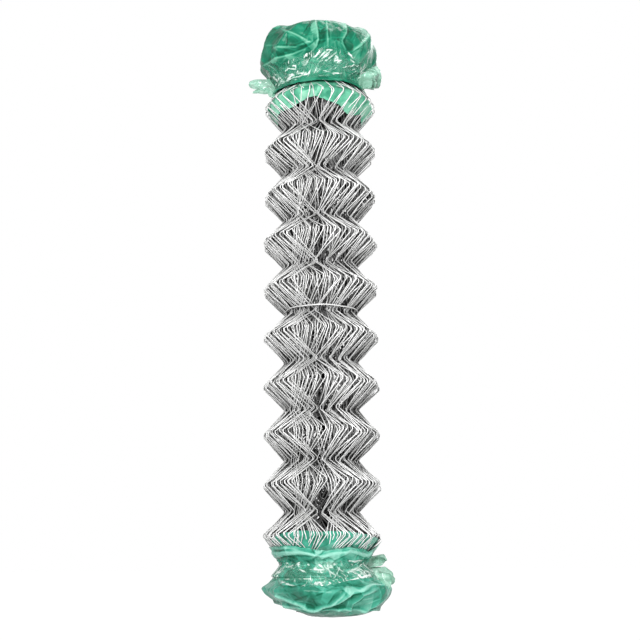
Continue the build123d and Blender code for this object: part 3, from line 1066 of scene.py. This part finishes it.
def tapeBand(s, d, bag, surface, band):
    low, under, tilt, tiltAt, seed = band
    turn, radius, height = surface
    round_ = turn[0][None, :]
    high = np.interp(np.degrees(round_), *zip(*s["edge"])) - under
    rows = int((high.max() - low) / s["step"]) + 1
    share = np.linspace(0, 1, rows)[:, None]
    rough = onRoll(round_ + 0 * share, d["ring"], share * (high - low), 0, 1) / mm
    level = low + share * (high - low) + tilt * np.cos(round_ - math.radians(tiltAt)) * (1 - share)
    level = level + (share - 0.5) * d["wander"] * softNoise(rough, d["wanderGrain"], seed)
    ragged = d["edgeDepth"] * creasedNoise(rough, d["edgeGrain"], seed + 1)
    level = level + ragged * np.abs(2 * share - 1) ** 2
    inBand = height[:, 0] < d["bagBelow"]
    reach = np.zeros(level.shape)
    for column in range(level.shape[1]):
        rise = np.maximum.accumulate(height[inBand, column])
        reach[:, column] = np.interp(level[:, column], rise, radius[inBand, column])
    # tape bridges the gathers
    bridged = np.max([np.roll(reach, k, axis=1) for k in range(-s["bridge"], s["bridge"] + 1)], axis=0)
    reach = np.maximum(blurred(bridged, 2, 1), reach) + s["gap"]
    lift = layeredCreases(rough, s["crinkles"], seed + 5)
    lift = lift * (d["kept"] + d["keptStray"] * softNoise(rough, d["keptGrain"], seed + 8))
    marks = scatterMarks({**s["marks"], "seed": seed}) + s["glints"]
    marks += [mark for row in s["crinkleRows"] for mark in crinkleRow(*row)]
    creases = markField(round_ + 0 * share, level, marks)
    lift = lift + d["markLift"] * creases
    for at, rise, spread, tall, strength in s["patches"]:
        gap = np.degrees(wrapTurn(round_ - math.radians(at))) / spread
        streaks = d["streak"] + d["streakDepth"] * creasedNoise(rough, d["streakGrain"], seed + 12)
        creases = creases + strength * streaks * np.exp(-gap ** 2 - ((level - rise) / tall) ** 2)
    reach = np.maximum(reach + lift, reach - s["gap"] + d["leastGap"])
    places = onRoll(round_ + 0 * share, reach, level, bag["end"], bag["up"])
    relief = np.stack([lift - blurred(lift, 3, 3), creases, 0 * lift], -1)
    places, relief = turnedOut(places, relief, bag["up"])
    return places, relief, True, False


def tapeFlap(d, bag, flap):
    # loose end that stands off the neck, rounded and torn at its tip
    at, root, rise, reach, rootHalf, tipHalf, lift, curl, shade, seed = flap
    out = np.linspace(0, 1, d["rows"])[:, None]
    side = np.linspace(-1, 1, d["columns"])[None, :]
    radius = root + reach * out * (1 - d["tipRound"] * np.abs(side) ** d["tipPower"])
    height = rise + lift * out + side * (rootHalf + (tipHalf - rootHalf) * out ** d["widen"])
    flat = np.stack([radius, height, 0 * radius + seed * d["apart"]], -1)
    (softGrain, softTear), (sharpGrain, sharpTear) = d["torn"]
    torn = softTear * softNoise(flat * d["tornSqueeze"], softGrain, seed)
    torn = torn + sharpTear * creasedNoise(flat * d["tornSqueeze"], sharpGrain, seed)
    radius = radius + torn * out ** 3
    droopGrain, droop = d["droop"]
    height = height + droop * softNoise(flat * d["droopSqueeze"], droopGrain, seed + 4) * out
    crumple = layeredCreases(flat, d["crumple"], seed + 1)
    sideWay, outWay = d["curlWays"]
    sideways = crumple * np.clip(out * d["crumpleFrom"], 0, 1)
    sideways = sideways + curl * np.sin(sideWay * side + outWay * out) * out
    places = onRoll(math.radians(at) + sideways / radius, radius, height, bag["end"], bag["up"])
    lines = creasedNoise(flat * d["lineSqueeze"], d["lineGrain"], seed + 3)
    lines = lines + d["crossTone"] * creasedNoise(flat, d["crossGrain"], seed + 5)
    border = ease(np.maximum(np.abs(side), 2 * out - 1) - d["borderFrom"], d["borderWidth"])
    tone = shade + d["lineTone"] * lines - d["borderTone"] * border
    return places, np.stack([d["relief"] * crumple, tone, d["body"] + 0 * tone], -1), False, False


topTapeSet = {
    "step": 1.4, "bridge": 3, "gap": 0.7, "crinkles": [(15, 1.5), (8, 0.7)], "flat": (0.05, 1.0),
    # low edge, how far under the upper edge, tilt of the low edge and where it is highest, seed
    "bands": [(-97, 0, 6.0, 80, 31), (-93, 8, 4.0, -150, 35)],
    "edge": [(-180, -54), (-120, -60), (-83, -48), (-42, -62), (-21, -57), (-7, -51), (10, -47),
             (24, -46), (43, -55), (67, -54), (110, -59), (150, -50), (180, -54)],
    "marks": {"count": 130, "heights": (-99, -50), "slope": 34, "spread": 20, "lengths": (8, 30),
              "widths": (1.1, 2.0), "strength": 0.7, "darkShare": 0.55},
    # bright and dark creases, given one by one, from turn and height to turn and height, with width and
    # strength
    # the bright ones are painted glints, highlights on the crinkled tape, and the dark ones painted shade
    "glints": [(31, -49, 40, -58, 1.3, 0.7), (34, -47, 46, -56, 1.0, 0.6), (19, -61, 24, -69, 1.1, 0.7),
               (17, -67, 26, -64, 1.1, 0.9), (16, -87, 28, -85, 1.5, 0.9), (4, -83, 14, -85, 1.3, 0.7),
               (-6, -78, 13, -51, 1.0, 0.5), (-3, -79, 16, -52, 1.2, -0.9), (0, -80, 19, -53, 1.0, 0.4),
               (38, -77, 52, -78, 2.0, -0.8), (-46, -69, -14, -60, 1.6, -0.8),
               (-60, -82, -16, -74, 1.6, -0.7), (-12, -88, -45, -80, 1.2, 0.5),
               (-12, -90, -46, -91, 1.2, 0.5), (6, -72, 30, -77, 1.6, -0.9),
               (60, -80, 74, -66, 1.4, 0.6), (64, -86, 80, -78, 1.8, -0.8)],
    # creases scattered along a line, with its spread, count, slope, share of dark ones and seed
    "crinkleRows": [(-46, -67, -8, -54, 7, 64, 50, 0.45, 101), (-4, -56, 24, -62, 10, 30, 40, 0.4, 102),
                    (30, -72, 58, -75, 8, 34, 20, 0.5, 103), (-64, -82, -12, -89, 8, 36, 6, 0.35, 104),
                    (4, -82, 40, -84, 6, 18, -4, 0.5, 105), (44, -58, 80, -66, 10, 34, 70, 0.5, 106),
                    (-84, -66, -60, -72, 10, 24, 40, 0.5, 107)],
    # paler places, by turn, height, spread round, spread up and strength
    "patches": [(-40, -88, 22, 6, 0.36), (-10, -85, 14, 5, 0.24), (10, -60, 12, 6, 0.18),
                (70, -74, 16, 12, 0.2)],
    # turn, root radius, height, reach, half height at root and tip, lift, curl, shade, seed
    "flaps": [(-92, 74, -73, 52, 14, 9, 1, 5, -0.12, 41), (-86, 74, -88, 46, 11, 6, -1, -7, -0.2, 43),
              (-74, 74, -99, 26, 6, 6, -6, 3, -0.14, 45), (72, 74, -78, 34, 16, 24, 2, 8, -0.34, 47),
              (84, 74, -70, 37, 14, 20, 4, -8, -0.26, 49), (62, 76, -86, 27, 12, 18, -2, 6, -0.36, 53)],
}
lowTapeSet = {
    "step": 1.4, "bridge": 3, "gap": 0.7, "crinkles": [(15, 1.4), (8, 0.7)], "flat": (0.05, 0.75),
    "bands": [(-88, 0, 2.0, -100, 61), (-85, 7, 3.0, 50, 65)],
    "edge": [(-180, -55), (-130, -50), (-66, -60), (-32, -51), (-10, -48), (6, -51), (26, -58),
             (50, -62), (78, -57), (120, -50), (150, -58), (180, -55)],
    "marks": {"count": 130, "heights": (-92, -50), "slope": 30, "spread": 24, "lengths": (8, 28),
              "widths": (1.1, 2.0), "strength": 0.75, "darkShare": 0.35},
    # the bright ones are painted glints, highlights on the crinkled tape, and the dark ones painted shade
    "glints": [(-29, -76, -19, -71, 1.6, 1.0), (-16, -76, 0, -75, 1.2, 0.9),
               (33, -89, 57, -89, 2.2, 0.9), (-51, -59, -25, -49, 1.6, 0.8),
               (15, -57, 22, -50, 1.8, 0.9), (24, -57, 40, -61, 1.5, 0.9), (42, -62, 62, -66, 1.6, 0.8),
               (5, -86, 8, -62, 1.2, 0.6), (24, -86, 11, -62, 1.3, 0.7), (-15, -70, 2, -67, 2.4, -0.9),
               (-40, -72, -28, -62, 1.8, -0.8), (-8, -58, 10, -62, 1.6, -0.8),
               (28, -72, 50, -78, 2.0, 0.5), (26, -76, 48, -82, 1.6, -0.6)],
    "crinkleRows": [(-48, -80, 0, -76, 9, 46, 30, 0.4, 111), (-36, -58, 22, -54, 12, 64, 40, 0.4, 112),
                    (20, -62, 62, -66, 8, 34, 20, 0.3, 113), (-80, -72, -50, -70, 12, 34, 50, 0.35, 114),
                    (10, -82, 60, -84, 8, 26, 10, 0.5, 115)],
    "patches": [(-66, -72, 14, 9, 0.45), (44, -65, 18, 5, 0.4), (-6, -54, 24, 6, 0.2),
                (75, -72, 14, 10, 0.25)],
    "flaps": [(90, 74, -63, 41, 16, 15, 1, 4, -0.12, 71), (80, 74, -54, 40, 14, 14, 2, -5, -0.2, 76),
              (98, 74, -89, 33, 6, 6, -3, -6, -0.1, 73), (84, 74, -84, 26, 8, 8, -2, 5, -0.2, 78)],
}


def makeTape(name, node, s, bag, surface, material):
    grids = [tapeBand(s, bandSet, bag, surface, band) for band in s["bands"]]
    grids += [tapeFlap(flapSet, bag, flap) for flap in s["flaps"]]
    filmPiece(name, grids, material, node, s["flat"])


# tie, a wire round the middle waist with its ends twisted together at the back
tieSet = {
    "radius": 1.25 * mm, "rings": 3, "clear": 3.4 * mm, "points": 72, "backGap": 0.02,
    "waver": 0.8 * mm, "waverWays": (5, 2), "waverStart": 1.0, "waverOut": 0.4,
    "frontRise": 5.5 * mm, "flank": 0.9,
    "sideDraw": 4.0 * mm, "sideRise": 3.0 * mm, "sidePower": 6,  # it sinks between the wires at both sides
    "twistTurns": 4.5, "twistLength": 24 * mm, "twistPoints": 40, "twistClear": 1.02, "twistDrop": 6 * mm,
}


def makeTie(s, material):
    low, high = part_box("tie_wire")
    level = (low.z + high.z) / 2
    reach = wireReach(-diamondsHigh / 2 * pitch / mm) * fenceSet["tiedShare"] * mm + s["clear"]
    curve = bpy.data.curves.new("tie_path", "CURVE")
    curve.dimensions = "3D"
    curve.bevel_depth = s["radius"]
    curve.bevel_resolution = s["rings"]
    curve.use_fill_caps = True
    fast, slow = s["waverWays"]
    strandOut = s["radius"] * s["twistClear"]
    for strand in (0, 1):
        path = []
        if strand == 0:
            for k in range(s["points"] + 1):
                a = math.pi / 2 + s["backGap"] + 2 * (math.pi - s["backGap"]) * k / s["points"]
                waver = s["waver"] * math.sin(fast * a + s["waverStart"]) * math.sin(slow * a)
                rise = s["frontRise"] * max(-math.sin(a), 0)
                aside = math.cos(a) ** s["sidePower"]
                out = reach + rise * s["flank"] + s["waverOut"] * waver - aside * s["sideDraw"]
                up = rise + waver + aside * s["sideRise"]
                path.append((math.cos(a) * out, math.sin(a) * out, level + up))
        for k in range(s["twistPoints"]):
            share = k / (s["twistPoints"] - 1)
            a = 2 * math.pi * s["twistTurns"] * share + math.pi * strand
            up = strandOut * math.sin(a) - s["twistDrop"] * share ** 2
            path.append((strandOut * math.cos(a), reach + s["twistLength"] * share, level + up))
        line = curve.splines.new("POLY")
        line.points.add(len(path) - 1)
        for point, place in zip(line.points, path):
            point.co = (*place, 1.0)
    holder = bpy.data.objects.new("tie_path", curve)
    scene.collection.objects.link(holder)
    mesh = bpy.data.meshes.new_from_object(holder.evaluated_get(bpy.context.evaluated_depsgraph_get()))
    bpy.data.objects.remove(holder)
    mesh.name = "waist_tie"
    mesh.polygons.foreach_set("use_smooth", [True] * len(mesh.polygons))
    mesh.materials.clear()
    mesh.materials.append(material)
    piece = bpy.data.objects.new("waist_tie", mesh)
    scene.collection.objects.link(piece)
    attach(piece, "root")
    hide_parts("tie_wire")
    print("waist_tie faces", len(mesh.polygons))


# green film, deeper green in its hollows and paler on its ridges: partly where it lies in several layers,
# partly painted shade and painted highlight
topFilmSet = {
    "deep": (0.0, 0.075, 0.036), "mid": (0.012, 0.23, 0.13), "pale": (0.17, 0.49, 0.34), "rough": 0.32,
    "facets": [(38.0, 0.3), (95.0, 0.25)],
}
lowFilmSet = {
    "deep": (0.004, 0.13, 0.07), "mid": (0.07, 0.4, 0.28), "pale": (0.3, 0.66, 0.53), "rough": 0.32,
    "facets": [(38.0, 0.3), (95.0, 0.25)],
}
skirtFilmSet = {
    "deep": (0.01, 0.2, 0.11), "mid": (0.13, 0.48, 0.31), "pale": (0.42, 0.74, 0.57), "rough": 0.34,
    "facets": [(50.0, 0.3), (110.0, 0.25)],
}


filmToneSet = {
    "slow": (18.0, 3.0, 0.6), "fine": (130.0, 2.0, 1.2),  # scale, detail and distortion
    # what the tone starts from, and the share of each in it
    "start": -0.02, "relief": 0.09, "crease": 0.34, "slowShare": 0.5, "patch": 0.4, "fineShare": 0.12,
    "deepAt": 0.15, "midAt": 0.5, "paleAt": 0.92, "bump": 0.2, "bumpDepth": 1.0 * mm, "ior": 1.27,
}
facetSet = {"warpScale": 0.7, "warp": 1.2, "smooth": 0.12}


def facetNormal(tree, place, facets, s=facetSet):
    # small flat facets, each tilted its own way, and the first ones' colour
    normal = put(tree, "ShaderNodeNewGeometry").outputs["Normal"]
    cells = []
    for scale, strength in facets:
        warp = centred(tree, noise(tree, place, scale * s["warpScale"], 1.0)["Color"])
        warped = vecCalc(tree, "ADD", place, scaled(tree, warp, s["warp"] / scale))
        cell = put(tree, "ShaderNodeTexVoronoi", {
            "Vector": warped, "Scale": scale, "Smoothness": s["smooth"]}, feature="SMOOTH_F1")
        cells.append(cell.outputs["Color"])
        normal = vecCalc(tree, "ADD", normal, scaled(tree, centred(tree, cells[-1]), strength))
    return vecCalc(tree, "NORMALIZE", normal), partsOf(tree, cells[0])[0]


def filmMaterial(name, s, t=filmToneSet):
    made, tree, out = newMaterial(name)
    place = put(tree, "ShaderNodeTexCoord").outputs["Object"]
    slow = noise(tree, place, *t["slow"])["Fac"]
    fine = noise(tree, place, *t["fine"])["Fac"]
    normal, patch = facetNormal(tree, place, s["facets"])
    # hollows darker and ridges paler from the relief, painted shade and highlight, partly film in more
    # layers; crease marks add painted highlights and shadows
    tone = timesPlus(tree, attribute(tree, "relief"), t["relief"], t["start"])
    tone = timesPlus(tree, attribute(tree, "crease"), t["crease"], tone)
    tone = timesPlus(tree, slow, t["slowShare"], tone)
    tone = timesPlus(tree, patch, t["patch"], tone)
    tone = timesPlus(tree, fine, t["fineShare"], tone)
    colour = ramp(tree, tone, [(t["deepAt"], s["deep"]), (t["midAt"], s["mid"]), (t["paleAt"], s["pale"])])
    bump = put(tree, "ShaderNodeBump", {
        "Height": fine, "Strength": t["bump"], "Distance": t["bumpDepth"], "Normal": normal})
    shader = put(tree, "ShaderNodeBsdfPrincipled", {
        "Base Color": colour, "Roughness": s["rough"], "Normal": bump.outputs[0], "IOR": t["ior"]})
    tree.links.new(shader.outputs[0], out.inputs["Surface"])
    return made


# clear tape, whiter where it is creased, partly its own crinkle whitening and partly painted highlights;
# darker green where marks are dark, painted shade
tapeSet = {
    "deep": (0.006, 0.16, 0.09), "clear": (0.2, 0.55, 0.4), "pale": (0.5, 0.78, 0.65),
    "creased": (0.93, 0.96, 0.94), "loose": (0.36, 0.52, 0.42), "looseShare": 0.5,
    "deepAt": 0.12, "clearAt": 0.45, "paleAt": 0.62, "creasedAt": 0.88,
    "fine": (60.0, 2.0, 1.6), "fineShare": 0.5, "patch": 0.4, "middle": 0.45,
    "shownFrom": 0.1, "shownTo": 0.6, "least": 0.04,  # marks that strong show from faint to full
    "rough": 0.2, "ior": 1.4, "facets": [(42.0, 0.4), (85.0, 0.22)],
}


def tapeMaterial(name, s):
    made, tree, out = newMaterial(name)
    place = put(tree, "ShaderNodeTexCoord").outputs["Object"]
    fine = noise(tree, place, *s["fine"])["Fac"]
    normal, patch = facetNormal(tree, place, s["facets"])
    body = attribute(tree, "body")
    # pale marks whiten the tape, partly its own crinkle whitening and partly painted highlights; dark marks
    # are painted shade
    mark = timesPlus(tree, fine, s["fineShare"], minus(tree, attribute(tree, "crease"), s["middle"]))
    mark = timesPlus(tree, patch, s["patch"], mark)
    level = timesPlus(tree, mark, 0.5, 0.5)
    colour = ramp(tree, level, [(s[key + "At"], s[key]) for key in ("deep", "clear", "pale", "creased")])
    colour = put(tree, "ShaderNodeMix", {
        0: times(tree, body, s["looseShare"]), 6: colour, 7: (*s["loose"], 1)}, data_type="RGBA").outputs[2]
    shown = put(tree, "ShaderNodeMapRange", {
        "Value": calc(tree, "ABSOLUTE", mark), "From Min": s["shownFrom"], "From Max": s["shownTo"],
        "To Min": s["least"], "To Max": 1.0})
    shader = put(tree, "ShaderNodeBsdfPrincipled", {
        "Base Color": colour, "Roughness": s["rough"], "Normal": normal, "IOR": s["ior"],
        "Alpha": calc(tree, "MAXIMUM", shown.outputs[0], body)})
    tree.links.new(shader.outputs[0], out.inputs["Surface"])
    return made


topFilm = filmMaterial("deepGreenFilm", topFilmSet)
lowFilm = filmMaterial("paleGreenFilm", lowFilmSet)
skirtFilm = filmMaterial("skirtFilm", skirtFilmSet)
clearTape = tapeMaterial("clearTape", tapeSet)
topSurface = makeBag("top_bag", "top_film", topBagSet, topFilm)
lowSurface = makeBag("bottom_bag", "bottom_film", lowBagSet, lowFilm)
makeSkirt("top_bag_skirt", "top_film", topSkirtSet, hangSet, topBagSet, skirtFilm)
makeSkirt("bottom_bag_skirt", "bottom_film", lowSkirtSet, hangSet, lowBagSet, lowFilm)
makeTape("top_tape_wrap", "top_tape", topTapeSet, topBagSet, topSurface, clearTape)
makeTape("bottom_tape_wrap", "bottom_tape", lowTapeSet, lowBagSet, lowSurface, clearTape)
makeTie(tieSet, zinc)
